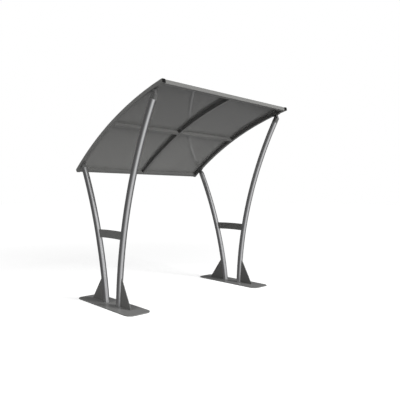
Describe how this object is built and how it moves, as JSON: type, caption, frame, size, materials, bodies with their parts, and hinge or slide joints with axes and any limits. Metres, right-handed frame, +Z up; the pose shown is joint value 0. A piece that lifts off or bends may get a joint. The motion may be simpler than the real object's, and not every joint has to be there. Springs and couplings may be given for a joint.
{
  "type": "bike shelter",
  "caption": "Open-fronted shelter: two frames of outward-bent tubes on base plates carry a curved sheet roof on curved box ribs.",
  "frame": {"origin": "on the ground under the middle of the whole shelter", "axes": "+Z up, -Y towards the high open front, +X along the shelter towards the right-hand frame"},
  "size_m": [2.88, 2.2116, 2.9813],
  "materials": {
    "post_steel": "satin",
    "frame_paint": "gloss powder coat",
    "plate_paint": "satin powder coat",
    "roof_sheet": "gloss powder coat",
    "plug_plastic": "moulded"
  },
  "bodies": {
    "root": {"base_plate_left": "plate_paint", "base_plate_right": "plate_paint", "brace_left": "frame_paint", "brace_right": "frame_paint", "front_beam": "frame_paint", "gusset_front_left": "frame_paint", "gusset_front_right": "frame_paint", "gusset_rear_left": "frame_paint", "gusset_rear_right": "frame_paint", "post_front_left": "post_steel", "post_front_right": "post_steel", "post_head_front_left": "frame_paint", "post_head_front_right": "frame_paint", "post_head_rear_left": "frame_paint", "post_head_rear_right": "frame_paint", "post_rear_left": "post_steel", "post_rear_right": "post_steel", "purlin_left": "frame_paint", "purlin_right": "frame_paint", "rear_beam": "frame_paint", "rib_left": "frame_paint", "rib_middle": "frame_paint", "rib_plug_front_left": "plug_plastic", "rib_plug_front_right": "plug_plastic", "rib_plug_rear_left": "plug_plastic", "rib_plug_rear_right": "plug_plastic", "rib_right": "frame_paint", "rib_saddle_front_left": "frame_paint", "rib_saddle_front_right": "frame_paint", "rib_saddle_rear_left": "frame_paint", "rib_saddle_rear_right": "frame_paint", "roof_sheet_left": "roof_sheet", "roof_sheet_right": "roof_sheet"}
  },
  "joints": []
}
